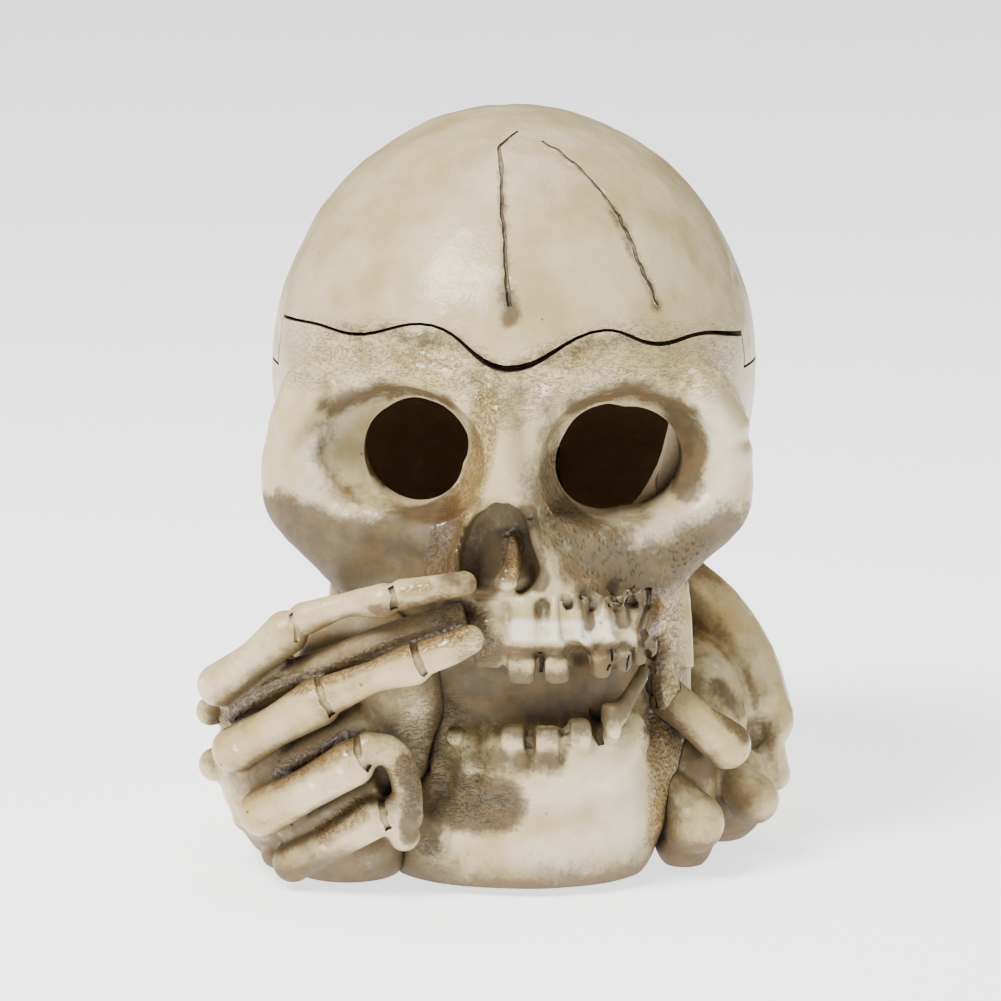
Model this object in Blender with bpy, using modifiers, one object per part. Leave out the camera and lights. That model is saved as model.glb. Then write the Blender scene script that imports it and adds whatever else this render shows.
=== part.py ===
"""Bubbling skull ornament for an aquarium, with a hinged cranium that trapped air lifts open.

Run with: blender --background --python part.py
World frame in metres: +Z up, the face looks along -Y, the origin is the centre of the base pad's underside.
Sizes below are in millimetres, and MM turns them into Blender's metres.
"""

import math

import bmesh
import bpy
from mathutils import Euler, Matrix, Vector

MM = 0.001
GAP = 0.35  # clearance between pieces that touch

# ---- Driving dimensions, in millimetres ----
CRANIUM_CENTRE = (0, 6, 84)
CRANIUM_RADII = (43, 50, 46.5)
HOLLOW_RADII = (38.5, 41, 42)  # the dome of air inside the bowl and the cap
BOWL_FLOOR = 56
PAD_THICK = 1.2
PAD_RADII = (25, 33.5)
PAD_Y = -4
FOOT = PAD_THICK + GAP  # height of the castings' flat underside

SEAM_WAVE = ((-39.5, 94.6), (-33, 95.2), (-26, 94.7), (-12, 97.3), (0.4, 90.9))
SEAM_WAVE += ((17, 96.4), (26, 93.5), (34, 94), (39.6, 92.4))
SEAM_ENDS = ((-46, 94), (46, 91))  # where the wave over the brow runs out at the temples
SEAM_LOW = 86.0  # height of the level seam round the sides and back
SEAM_STEP_Y = -9  # the seam steps down to SEAM_LOW at the temples
SEAM_GAP = 0.5

# Each eye socket is a scooped funnel and a round hole through to the bowl: centre, radii; x, z, radius.
EYE_SCOOPS = (((-19.3, -46, 75.4), (16.4, 20.5, 12.9)), ((22.4, -45, 74.6), (16, 20.5, 13.2)))
EYE_HOLES = ((-17.2, 73.4, 8.9), (19.4, 72.2, 9.4), (23, 72.2, 9.2))
NOSE_OUTLINE = ((-7, 55), (-4.8, 63), (0.6, 70), (6.4, 63), (8.5, 55), (1, 53))
NOSE_DEPTH = 10

BOSS_RADIUS = 9.5  # the thick ring of resin round the inlet
STONE_RADIUS = 7
STONE_LENGTH = 26
STONE_Y = -3  # middle of the air stone
CLIP_SCREW_X = (-11.5, 11.5)
AIR_Z = BOWL_FLOOR + GAP + STONE_RADIUS  # axis of the air stone, its tube and the inlet
WALL_IN, WALL_OUT = 42, 49.5  # flat faces inside and outside the inlet's boss
INLET_HOLE = 3.6
AIRLINE_BORE, AIRLINE_OUTER = 2.0, 3.0

LEAF_FACE_Y = 53  # flat cut into the castings for the hinge leaves
LEAF_THICK = 1.2
LEAF_HALF_WIDTH = 10
LEAF_Y = LEAF_FACE_Y + GAP + LEAF_THICK  # outer face of both leaves
KNUCKLE_RADIUS = 2.3
KNUCKLE_SPLIT = 4  # half width of the middle knuckle
HINGE_Y = LEAF_Y + KNUCKLE_RADIUS - 0.25
HINGE_Z = SEAM_LOW + SEAM_GAP / 2
HINGE_OPEN = 35  # degrees at which the heels meet the lower leaf
HEEL_LENGTH, HEEL_THICK = 5.5, 1.2
PIN_RADIUS = 1.0
SCREW_HOLE = 1.35
LEAF_SCREW_X = (-6, 6)
LOWER_SCREW_Z, UPPER_SCREW_Z = 74.6, 92.2

CLAY_VOXEL = 1.9


# ---- Scene and helpers ----


def clear_scene():
    for obj in list(bpy.data.objects):
        bpy.data.objects.remove(obj, do_unlink=True)
    for name in ("Bubbling ornament", "Cutters"):
        bpy.context.scene.collection.children.link(bpy.data.collections.new(name))


def move_to(obj, collection_name):
    for collection in list(obj.users_collection):
        collection.objects.unlink(obj)
    bpy.data.collections[collection_name].objects.link(obj)
    return obj


def material(name, colour, roughness, metallic=0.0):
    made = bpy.data.materials.get(name) or bpy.data.materials.new(name)
    made.use_nodes = True
    shader = made.node_tree.nodes["Principled BSDF"]
    shader.inputs["Base Color"].default_value = (*colour, 1)
    shader.inputs["Roughness"].default_value = roughness
    shader.inputs["Metallic"].default_value = metallic
    return made


def finish(obj, name, made_of):
    """Names a piece, gives it its material and puts it with the ornament's parts."""
    obj.name = name
    obj.data.name = name
    obj.data.materials.clear()
    obj.data.materials.append(made_of)
    obj.data.shade_smooth()
    obj.data.set_sharp_from_angle(angle=math.radians(40))
    return move_to(obj, "Bubbling ornament")


def placed(obj, centre, scale=(1, 1, 1), turn=(0, 0, 0)):
    """Moves, turns (degrees) and scales a shape in its mesh, so that its object stays at the origin."""
    angles = Euler([math.radians(angle) for angle in turn])
    obj.data.transform(Matrix.LocRotScale(Vector(centre) * MM, angles, Vector(scale)))
    return obj


def ball(centre, radii, turn=(0, 0, 0), segments=32):
    bpy.ops.mesh.primitive_uv_sphere_add(segments=segments, ring_count=segments // 2, radius=MM)
    return placed(bpy.context.object, centre, radii, turn)


def block(low, high):
    bpy.ops.mesh.primitive_cube_add(size=MM)
    size = Vector(high) - Vector(low)
    return placed(bpy.context.object, (Vector(high) + Vector(low)) / 2, size)


def rod(start, end, radius, segments=24):
    """A cylinder between two points."""
    along = Vector(end) - Vector(start)
    bpy.ops.mesh.primitive_cylinder_add(vertices=segments, radius=radius * MM, depth=along.length * MM)
    turn = [math.degrees(angle) for angle in along.to_track_quat("Z", "Y").to_euler()]
    return placed(bpy.context.object, (Vector(start) + Vector(end)) / 2, turn=turn)


def baked(obj):
    """Replaces an object's data by the mesh that its modifiers make."""
    graph = bpy.context.evaluated_depsgraph_get()
    mesh = bpy.data.meshes.new_from_object(obj.evaluated_get(graph))
    solid = bpy.data.objects.new(obj.name, mesh)
    bpy.context.scene.collection.objects.link(solid)
    bpy.data.objects.remove(obj, do_unlink=True)
    return solid


def limb(points, cyclic=False):
    """A smooth rounded limb through points (x, y, z, radius)."""
    data = bpy.data.curves.new("limb", "CURVE")
    data.dimensions = "3D"
    data.bevel_depth = MM
    data.bevel_resolution = 3
    data.resolution_u = 5
    data.use_fill_caps = True
    spline = data.splines.new("BEZIER")
    spline.bezier_points.add(len(points) - 1)
    spline.use_cyclic_u = cyclic
    for bezier, (x, y, z, radius) in zip(spline.bezier_points, points):
        bezier.co = Vector((x, y, z)) * MM
        bezier.radius = radius
        bezier.handle_left_type = "AUTO"
        bezier.handle_right_type = "AUTO"
    obj = bpy.data.objects.new("limb", data)
    bpy.context.scene.collection.objects.link(obj)
    return welded(baked(obj))


def welded(obj):
    mesh = bmesh.new()
    mesh.from_mesh(obj.data)
    bmesh.ops.remove_doubles(mesh, verts=mesh.verts, dist=1e-6)
    mesh.to_mesh(obj.data)
    mesh.free()
    return obj


def bone(points):
    """A limb with a round ball at each end and at each joint along it."""
    return [limb(points)] + [ball((x, y, z), (r, r, r), segments=16) for x, y, z, r in points]


def outline(points, y_low, y_high, corners=0):
    """A flat outline of (x, z) points, smooth but for its last few corners, made thick along Y."""
    data = bpy.data.curves.new("outline", "CURVE")
    data.dimensions = "2D"
    data.fill_mode = "BOTH"
    data.extrude = (y_high - y_low) / 2 * MM
    data.resolution_u = 6
    spline = data.splines.new("BEZIER")
    spline.bezier_points.add(len(points) - 1)
    spline.use_cyclic_u = True
    for number, (bezier, (x, z)) in enumerate(zip(spline.bezier_points, points)):
        bezier.co = Vector((x, z, 0)) * MM
        kind = "VECTOR" if number >= len(points) - corners else "AUTO"
        bezier.handle_left_type = kind
        bezier.handle_right_type = kind
    obj = bpy.data.objects.new("outline", data)
    bpy.context.scene.collection.objects.link(obj)
    return placed(welded(baked(obj)), (0, (y_low + y_high) / 2, 0), turn=(90, 0, 0))


def turned(profile, start, along, steps=24):
    """A turned shape. The profile's (radius, height) points run down its outer side, from a start point."""
    mesh = bpy.data.meshes.new("turned")
    points = [(radius * MM, 0, height * MM) for radius, height in profile]
    edges = [(i, i + 1) for i in range(len(points) - 1)]
    if profile[0][0] > 0:
        edges.append((len(points) - 1, 0))
    mesh.from_pydata(points, edges, [])
    obj = bpy.data.objects.new("turned", mesh)
    bpy.context.scene.collection.objects.link(obj)
    screw = obj.modifiers.new("Turn", "SCREW")
    screw.steps = steps
    screw.render_steps = steps
    screw.use_merge_vertices = True
    screw.merge_threshold = 1e-6
    turn = [math.degrees(angle) for angle in Vector(along).to_track_quat("Z", "Y").to_euler()]
    return placed(welded(baked(obj)), start, turn=turn)


def joined(objects):
    """Puts several meshes into one object, as lumps that a remesh makes one body."""
    gathered = bmesh.new()
    for obj in objects:
        gathered.from_mesh(obj.data)
        bpy.data.objects.remove(obj, do_unlink=True)
    mesh = bpy.data.meshes.new("joined")
    gathered.to_mesh(mesh)
    gathered.free()
    result = bpy.data.objects.new("joined", mesh)
    bpy.context.scene.collection.objects.link(result)
    return result


def clay(objects, keep, smoothing=3):
    """Fuses lumps into one body, softens it and keeps a share of its faces."""
    obj = joined(objects)
    remesh = obj.modifiers.new("Fuse", "REMESH")
    remesh.mode = "VOXEL"
    remesh.voxel_size = CLAY_VOXEL * MM
    smooth = obj.modifiers.new("Soften", "SMOOTH")
    smooth.iterations = smoothing
    decimate = obj.modifiers.new("Thin", "DECIMATE")
    decimate.ratio = keep
    return baked(obj)


def copied(obj):
    twin = bpy.data.objects.new(obj.name, obj.data.copy())
    bpy.context.scene.collection.objects.link(twin)
    return twin


def cut(obj, others, operation="DIFFERENCE"):
    """Cuts, joins or intersects a mesh with others, which are kept as hidden cutters."""
    for other in others:
        if "Cutters" not in [collection.name for collection in other.users_collection]:
            move_to(other, "Cutters")
        other.hide_render = True
        other.display_type = "WIRE"
        boolean = obj.modifiers.new(operation.title(), "BOOLEAN")
        boolean.operation = operation
        boolean.object = other
    return baked(obj)


def biggest_body(obj):
    """Drops the crumbs that a cut leaves."""
    mesh = bmesh.new()
    mesh.from_mesh(obj.data)
    left = set(mesh.verts)
    bodies = []
    while left:
        body, edge = set(), [left.pop()]
        while edge:
            vert = edge.pop()
            body.add(vert)
            near = {link.other_vert(vert) for link in vert.link_edges} & left
            left -= near
            edge.extend(near)
        bodies.append(body)
    keep = max(bodies, key=len)
    bmesh.ops.delete(mesh, geom=[vert for vert in mesh.verts if vert not in keep], context="VERTS")
    mesh.to_mesh(obj.data)
    mesh.free()
    return obj


# ---- Materials ----


def bone_resin():
    return material("bone_resin", (0.66, 0.6, 0.46), 0.5)


def stainless():
    return material("stainless", (0.6, 0.6, 0.61), 0.3, 1.0)


def dark_plastic():
    return material("dark_plastic", (0.03, 0.03, 0.035), 0.4)


def black_rubber():
    return material("black_rubber", (0.02, 0.02, 0.02), 0.7)


# ---- The skull ----


def face_lumps():
    """The front of the skull: brow, cheekbones, upper jaw and nose."""
    lumps = [
        ball((0, -14, 76), (41.5, 33.5, 21)),
        ball((0.5, -37, 75), (7.5, 13, 15)),
        ball((1, -29, 54), (24, 22, 15.5)),
    ]
    for side in (-1, 1):
        # The rim down the outside of the eye and under it, the cheekbone, and its arch to the ear.
        rim = ((32, -31, 87, 6), (35.5, -27, 77, 6), (35.3, -24.5, 65.8, 7.3))
        rim += ((29, -27.5, 59.8, 7.4), (20, -33, 52, 8), (15, -36, 47, 6))
        arch = ((35, -20, 64.5, 6.5), (37.5, -4, 62.5, 4.8), (35, 10, 62, 5))
        lumps += [limb([(side * x, y, z, radius) for x, y, z, radius in path]) for path in (rim, arch)]
        lumps.append(ball((side * 35.2, -24.5, 65.6), (7.4, 8, 7.6)))
    # Upper gum and tooth row.
    row = ((-10, -45.5, 46, 5), (0, -47.8, 46, 5.2), (8, -47.8, 46, 5.2), (15, -45.4, 46, 5))
    lumps.append(limb(row + ((20.5, -41.5, 46, 4.8), (25, -35, 46.5, 4.5))))
    return lumps


def jaw_lumps():
    """The lower jaw, joined to the upper one behind the teeth, the back of the head and the base under it."""
    lumps = [
        ball((0, 15, 62), (37, 39.5, 32)),
        ball((0, 6, 24), (33, 42, 34)),
        ball((0, 12, 44), (30.5, 36, 22)),
        ball((0, -20, 36), (26, 25, 27)),
        ball((3, -30, 15), (24.5, 20, 19)),
        ball((2.5, -31.5, 7.5), (24, 17.5, 14)),
        ball((26.5, -21, 41), (5.6, 9.6, 15)),
        limb(((-13, -41, 24, 5.5), (3, -46, 24, 7), (15, -43, 25, 7), (21.5, -35, 28, 5.5))),
    ]
    for side in (-1, 1):
        lumps.append(limb(((side * 22, -33, 10, 6), (side * 26.5, -24, 25, 5.5), (side * 27, -17, 50, 5))))
    lumps.append(rod((0, 34, AIR_Z), (0, WALL_OUT + 1.5, AIR_Z), BOSS_RADIUS))
    return lumps


def upper_cutter(rise):
    """Everything above the seam: a wavy front over the brow and a level cut behind the temples."""
    wave = [(x, z + rise) for x, z in (SEAM_ENDS[0], *SEAM_WAVE, SEAM_ENDS[1])]
    sky = [(60, SEAM_ENDS[1][1] + rise), (60, 150), (-60, 150), (-60, SEAM_ENDS[0][1] + rise)]
    front = outline(wave + sky, -75, SEAM_STEP_Y + rise, 4)
    back = block((-60, SEAM_STEP_Y + rise - 0.05, SEAM_LOW + rise), (60, 75, 149))
    return cut(front, [back], "UNION")


def hollow(floor):
    """The dome of air, with a flat floor."""
    dome = ball(CRANIUM_CENTRE, HOLLOW_RADII, segments=40)
    return cut(dome, [block((-60, -60, 0), (60, 75, floor))])


def eye_and_nose_cutters():
    cutters = [ball(centre, radii, segments=28) for centre, radii in EYE_SCOOPS]
    cutters += [rod((x, -60, z), (x * 0.9, -22, z + 1), radius, 28) for x, z, radius in EYE_HOLES]
    cutters.append(outline(NOSE_OUTLINE, -75, -50 + NOSE_DEPTH))
    cutters.append(limb(((-12, -54, 34.5, 4.4), (2, -56, 35, 5.5), (14, -53, 36, 5.5), (29, -42, 38, 4.6))))
    return cutters


def screw_holes(z):
    return [rod((x, 48.6, z), (x, 56, z), SCREW_HOLE, 12) for x in LEAF_SCREW_X]


def head():
    """The whole head as one closed lump, and the pieces of the castings cut from it."""
    cranium = ball(CRANIUM_CENTRE, CRANIUM_RADII, segments=48)
    whole = clay([cranium] + face_lumps() + jaw_lumps(), keep=0.13)
    trims = [block((-80, LEAF_FACE_Y, 69), (80, 80, 99)), block((-80, -80, -20), (80, 80, FOOT))]
    return cut(whole, trims)


def skull_casting(whole):
    cutters = [upper_cutter(0), hollow(BOWL_FLOOR)] + eye_and_nose_cutters()
    cutters.append(rod((0, 30, AIR_Z), (0, 70, AIR_Z), INLET_HOLE))
    cutters.append(rod((0, 26, AIR_Z), (0, WALL_IN, AIR_Z), 7))
    cutters.append(rod((0, WALL_OUT, AIR_Z), (0, 70, AIR_Z), 7.5))
    for x in CLIP_SCREW_X:
        cutters.append(rod((x, STONE_Y, BOWL_FLOOR - 7), (x, STONE_Y, BOWL_FLOOR + 4), SCREW_HOLE, 12))
    cutters += screw_holes(LOWER_SCREW_Z)
    solid = biggest_body(cut(copied(whole), cutters))
    return finish(solid, "skull_casting", bone_resin())


def cranium_cap(whole):
    solid = cut(copied(whole), [upper_cutter(SEAM_GAP)], "INTERSECT")
    solid = cut(solid, [hollow(BOWL_FLOOR)] + screw_holes(UPPER_SCREW_Z))
    return finish(biggest_body(solid), "cranium_cap", bone_resin())


# ---- The hands that hold the jaw ----


def right_hand_lumps():
    """The skull's right hand: four bent fingers over the jaw, their knuckles out to the side."""
    first = ((-48.8, -40, 35.2, 3.8), (-42, -45, 41, 3.3), (-35.5, -48.5, 47, 3.9))
    first += ((-18, -53.5, 53.3, 3), (-6, -53.5, 55.8, 2.4))
    second = ((-45.8, -43, 24.6, 4.1), (-38.4, -48.5, 29.9, 3.6), (-29.5, -53, 36, 4.2))
    second += ((-13.4, -57, 43.2, 3.4), (-5, -56.8, 46.9, 2.7))
    third = ((-41, -45, 14, 4.2), (-33, -50.5, 19.4, 3.7), (-24, -54.3, 26, 4))
    third += ((-18.6, -53.5, 26.8, 2.9), (-15.8, -50.5, 15, 2.9))
    fourth = ((-36, -43, 4.9, 3.6), (-28.5, -48, 9.8, 3.2), (-20.5, -51.5, 15.2, 3.6), (-16.4, -50, 11.5, 2.9))
    fingers = (first, second, third, fourth)
    upper_web = ((-47, -37, 30, 3), (-38, -43, 36.5, 3), (-28.4, -47.5, 41, 3), (-18, -50, 46, 2.6))
    webs = (
        upper_web + ((-6, -50.5, 50, 2.4),),
        ((-42, -40, 19, 3), (-30, -46.5, 27, 3), (-22, -50, 32, 3)),
        ((-37, -41, 9.8, 3), (-29, -45.5, 14.8, 3), (-20, -49, 20, 3)),
    )
    knobs = ((-51.2, -31, 28.6, 2.6), (-50.2, -33, 19.6, 3), (-44.3, -36, 11.3, 2.9), (-39.4, -37, 4.9, 2.7))
    lumps = [part for finger in fingers for part in bone(finger)] + [limb(web) for web in webs]
    lumps += [ball((x, y, z), (radius, radius, radius), segments=16) for x, y, z, radius in knobs]
    lumps += [ball((-36, -16, 17), (14, 28, 19)), ball((-33, -33, 21), (17, 13, 19))]
    lumps += [ball((-23, -39, 32), (14, 10.5, 18)), ball((-27, -35, 7), (11.5, 12, 8.5))]
    lumps.append(ball((-19.5, -41, 21), (4.5, 8, 12)))
    return lumps


def left_hand_lumps():
    """The skull's left hand: a long smooth thumb side and short knuckles at the foot of the jaw."""
    lumps = bone(((29.5, 6, 44.5, 6), (35.5, 4, 39.5, 6.1), (41, 1, 31, 6.4), (44.1, -3, 22, 6.3)))
    lumps += bone(((28.2, -28, 31, 3.6), (32.5, -30, 28, 3.5), (38.3, -28.5, 22.9, 4.3)))
    lumps += bone(((33, -14, 18, 4.6), (38.6, -18, 15, 3.6), (43.2, -18.5, 11, 4.5)))
    lumps += bone(((28.4, -29, 14.5, 4.2), (32.6, -31.5, 9.8, 5.5)))
    lumps += bone(((44.5, -5, 18.5, 4), (46.6, -5, 12.4, 3.2)))
    lumps += [ball((30, -2, 20), (13.5, 22, 18)), ball((28, -19, 15), (9, 11, 13))]
    lumps += [ball((37, -6, 11), (9.5, 12, 11)), ball((31, -27, 6.5), (5.4, 6, 6.5))]
    return lumps


def hand(name, lumps, whole):
    """A hand glued to the skull, shaped to the surface that it sits on."""
    inflated = copied(whole)
    swell = inflated.modifiers.new("Glue line", "DISPLACE")
    swell.strength = GAP * MM
    swell.mid_level = 0
    below = block((-80, -80, -20), (80, 80, FOOT))
    solid = cut(clay(lumps, keep=0.13, smoothing=2), [below, baked(inflated)])
    return finish(biggest_body(solid), name, bone_resin())


# ---- Base ----


def base_pad():
    bpy.ops.mesh.primitive_cylinder_add(vertices=48, radius=MM, depth=MM)
    pad = placed(bpy.context.object, (0, PAD_Y, PAD_THICK / 2), (*PAD_RADII, PAD_THICK))
    return finish(pad, "base_pad", black_rubber())


# ---- Air parts ----


def air_inlet():
    """A barbed fitting that passes through the back wall: its flange, outer barb, thread and inner barb."""
    outside = WALL_OUT + GAP + 1.3 + GAP  # inner face of the flange
    profile = [(1.5, 9.5), (2.2, 9.5), (2.9, 6.5), (2.2, 6.5), (2.9, 3.5), (2.2, 3.5), (2.2, 1.6)]
    profile += [(6.2, 1.6), (6.2, 0), (3.2, 0), (3.2, -13), (1.3, -13), (1.65, -16.5), (1.3, -16.5)]
    profile += [(1.65, -19.5), (1.2, -21), (0.8, -21), (0.8, 9.5)]
    return finish(turned(profile, (0, outside, AIR_Z), (0, 1, 0)), "air_inlet", dark_plastic())


def inlet_seal():
    profile = ((6.2, 1.3), (6.2, 0), (INLET_HOLE, 0), (INLET_HOLE, 1.3))
    return finish(turned(profile, (0, WALL_OUT + GAP, AIR_Z), (0, 1, 0)), "inlet_seal", black_rubber())


def inlet_nut():
    """A hexagon nut inside the bowl."""
    low = WALL_IN - GAP - 2.8
    nut = rod((0, low, AIR_Z), (0, WALL_IN - GAP, AIR_Z), 5.8, 6)
    bore = rod((0, low - 1, AIR_Z), (0, WALL_IN + 1, AIR_Z), INLET_HOLE - 0.05)
    return finish(cut(nut, [bore]), "inlet_nut", dark_plastic())


def air_line():
    """The short straight tube from the inlet's inner barb to the stone's nipple."""
    length = 23
    profile = ((AIRLINE_OUTER, length), (AIRLINE_OUTER, 0), (AIRLINE_BORE, 0), (AIRLINE_BORE, length))
    return finish(turned(profile, (0, 13.8, AIR_Z), (0, 1, 0)), "air_line", black_rubber())


def air_stone():
    half = STONE_LENGTH / 2
    side = STONE_RADIUS
    profile = [(0, half - 7), (2.4, half - 7), (2.4, half), (side - 1, half), (side, half - 1)]
    profile += [(side, 1 - half), (side - 1, -half), (0, -half)]
    stone = turned(profile, (0, STONE_Y, AIR_Z), (0, 1, 0))
    return finish(stone, "air_stone", material("air_stone", (0.25, 0.3, 0.4), 0.95))


def stone_nipple():
    """The stone's plastic nipple, pushed into its end."""
    start = STONE_Y + STONE_LENGTH / 2
    profile = ((0.9, 9), (1.2, 9), (1.65, 6), (1.3, 6), (1.65, 3), (2.05, 0), (2.05, -6.6), (0.9, -6.6))
    return finish(turned(profile, (0, start, AIR_Z), (0, 1, 0)), "stone_nipple", dark_plastic())


def stone_clip():
    """A strap bent over the stone, with a foot on each side."""
    radius = STONE_RADIUS + GAP + 0.6
    foot = -STONE_RADIUS + 0.6
    arc = [math.radians(angle) for angle in range(0, 181, 15)]
    points = [(15, foot), (radius, foot)] + [(radius * math.cos(a), radius * math.sin(a)) for a in arc]
    points += [(-radius, foot), (-15, foot)]
    mesh = bpy.data.meshes.new("strap")
    rows = [[(x * MM, y * MM, z * MM) for x, z in points] for y in (-4, 4)]
    count = len(points)
    faces = [(i, i + 1, count + i + 1, count + i) for i in range(count - 1)]
    mesh.from_pydata(rows[0] + rows[1], [], faces)
    strap = bpy.data.objects.new("strap", mesh)
    bpy.context.scene.collection.objects.link(strap)
    thick = strap.modifiers.new("Thickness", "SOLIDIFY")
    thick.thickness = 1.2 * MM
    thick.offset = 0
    solid = placed(baked(strap), (0, STONE_Y, AIR_Z))
    holes = [rod((x, STONE_Y, BOWL_FLOOR - 3), (x, STONE_Y, AIR_Z), SCREW_HOLE, 12) for x in CLIP_SCREW_X]
    return finish(cut(solid, holes), "stone_clip", dark_plastic())


# ---- Hinge ----


def screw_piece(name, seat, along):
    """A pan-head screw whose head sits at a point, its shank running back along the other way."""
    profile = ((0, 1.3), (1.3, 1.2), (2.0, 0.6), (2.0, 0), (1.0, 0), (1.0, -5.2), (0, -6))
    return finish(turned(profile, seat, along, 16), name, stainless())


def knuckle(x_low, x_high):
    return rod((x_low, HINGE_Y, HINGE_Z), (x_high, HINGE_Y, HINGE_Z), KNUCKLE_RADIUS)


def leaf(z_low, z_high, extra, screw_z):
    """A hinge leaf: its plate joined to its knuckles, bored for the pin and drilled for two screws."""
    plate = block((-LEAF_HALF_WIDTH, LEAF_FACE_Y + GAP, z_low), (LEAF_HALF_WIDTH, LEAF_Y, z_high))
    solid = cut(plate, extra, "UNION")
    bore = rod((-20, HINGE_Y, HINGE_Z), (20, HINGE_Y, HINGE_Z), PIN_RADIUS + 0.3, 16)
    holes = [rod((x, 50, screw_z), (x, 60, screw_z), SCREW_HOLE, 12) for x in LEAF_SCREW_X]
    return cut(solid, [bore] + holes)


def hinge_bracket():
    """The lower leaf, which stays on the skull and carries the middle knuckle."""
    low, high = 71, HINGE_Z - KNUCKLE_RADIUS - 0.3
    neck = block((-KNUCKLE_SPLIT, LEAF_FACE_Y + GAP, high - 1), (KNUCKLE_SPLIT, LEAF_Y, HINGE_Z))
    solid = leaf(low, high, [neck, knuckle(-KNUCKLE_SPLIT, KNUCKLE_SPLIT)], LOWER_SCREW_Z)
    return finish(solid, "hinge_bracket", stainless())


def heel(x_low, x_high):
    """A stop on the cap's leaf. It meets the lower leaf when the cap is fully open."""
    reach = LEAF_Y - HINGE_Y + 0.3 + HEEL_THICK / 2
    rest = math.radians(HINGE_OPEN) + math.asin(reach / HEEL_LENGTH)
    stop = block((x_low, -HEEL_THICK / 2, -HEEL_LENGTH), (x_high, HEEL_THICK / 2, -PIN_RADIUS - 0.6))
    return placed(stop, (0, HINGE_Y, HINGE_Z), turn=(math.degrees(rest), 0, 0))


def cap_hinge_arm():
    """The upper leaf, which lifts with the cap, with its two outer knuckles and their heels."""
    low, high = HINGE_Z + KNUCKLE_RADIUS + 0.3, 96
    extra = []
    for side in (-1, 1):
        ends = sorted((side * (KNUCKLE_SPLIT + 0.3), side * LEAF_HALF_WIDTH))
        low_corner = (ends[0] + 0.4, LEAF_FACE_Y + GAP + 0.1, HINGE_Z + 0.4)
        extra.append(block(low_corner, (ends[1] - 0.4, LEAF_Y - 0.1, low + 1)))
        extra.append(knuckle(*ends))
        extra.append(heel(ends[0] + 0.6, ends[1] - 0.6))
    return finish(leaf(low, high, extra, UPPER_SCREW_Z), "cap_hinge_arm", stainless())


def hinge_pin():
    pin = rod((-11, HINGE_Y, HINGE_Z), (11, HINGE_Y, HINGE_Z), PIN_RADIUS, 16)
    return finish(pin, "hinge_pin", stainless())


def pin_cap(name, side):
    """A push-on cap that keeps the pin in its knuckles."""
    profile = ((0, 2), (1.3, 2), (1.9, 1.5), (1.9, 0), (1.3, 0), (1.3, 1), (0, 1))
    start = (side * (LEAF_HALF_WIDTH + GAP), HINGE_Y, HINGE_Z)
    return finish(turned(profile, start, (side, 0, 0), 16), name, dark_plastic())


def main():
    clear_scene()
    whole = head()
    skull_casting(whole)
    cap = cranium_cap(whole)
    hand("right_hand", right_hand_lumps(), whole)
    hand("left_hand", left_hand_lumps(), whole)
    bpy.data.objects.remove(whole, do_unlink=True)
    base_pad()
    for make in (air_inlet, inlet_seal, inlet_nut, air_line, air_stone, stone_nipple, stone_clip):
        make()
    hinge_bracket()
    arm = cap_hinge_arm()
    hinge_pin()
    pin_cap("pin_cap_left", -1)
    pin_cap("pin_cap_right", 1)
    screws_on_cap = []
    for side, x in (("left", -6), ("right", 6)):
        screw_piece(f"bracket_screw_{side}", (x, LEAF_Y + GAP, LOWER_SCREW_Z), (0, 1, 0))
        screws_on_cap.append(screw_piece(f"arm_screw_{side}", (x, LEAF_Y + GAP, UPPER_SCREW_Z), (0, 1, 0)))
    clip_top = AIR_Z - STONE_RADIUS + 1.2 + GAP
    for side, x in (("left", -11.5), ("right", 11.5)):
        screw_piece(f"clip_screw_{side}", (x, STONE_Y, clip_top), (0, 0, 1))
    axis = bpy.data.objects.new("cap_hinge_axis", None)
    axis.location = Vector((0, HINGE_Y, HINGE_Z)) * MM
    move_to_axis = [cap, arm] + screws_on_cap
    bpy.data.collections["Bubbling ornament"].objects.link(axis)
    bpy.context.view_layer.update()
    for piece in move_to_axis:
        piece.parent = axis
        piece.matrix_parent_inverse = axis.matrix_world.inverted()


main()
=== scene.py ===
# %% [markdown]
# # A bubbling skull ornament
# This ornament is cast in resin and painted like old bone. Air from a stone inside gathers under the
# skull's cranium, which is a separate cap on a hinge, until the cap lifts and lets the bubble go.
# The working model already exists, so we load it first and build the fine surfaces around it.
# Its pieces stay where they are, and each new piece rides on the body that it belongs to.

# %% Load the working model
import math

import bpy
import numpy as np
from mathutils import Euler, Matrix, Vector


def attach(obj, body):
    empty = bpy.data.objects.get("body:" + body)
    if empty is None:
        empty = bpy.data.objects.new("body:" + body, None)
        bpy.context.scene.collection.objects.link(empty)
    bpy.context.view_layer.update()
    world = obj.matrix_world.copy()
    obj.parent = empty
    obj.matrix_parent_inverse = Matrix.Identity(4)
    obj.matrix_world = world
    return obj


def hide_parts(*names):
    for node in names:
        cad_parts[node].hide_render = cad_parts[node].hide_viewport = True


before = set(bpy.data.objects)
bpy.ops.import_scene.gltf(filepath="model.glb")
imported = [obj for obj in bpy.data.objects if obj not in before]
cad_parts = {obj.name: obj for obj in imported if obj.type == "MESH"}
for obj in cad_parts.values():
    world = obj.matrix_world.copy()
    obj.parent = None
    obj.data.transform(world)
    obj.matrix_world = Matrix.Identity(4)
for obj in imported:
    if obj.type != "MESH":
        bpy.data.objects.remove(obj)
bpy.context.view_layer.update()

MM = 0.001  # sizes below are in millimetres, and Blender's are in metres

# %% [markdown]
# ## Camera
# A long lens from nearly a metre away keeps the small ornament's proportions. The camera looks at a
# point inside it, a little below its eyes, from slightly above and to the right.

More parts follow.
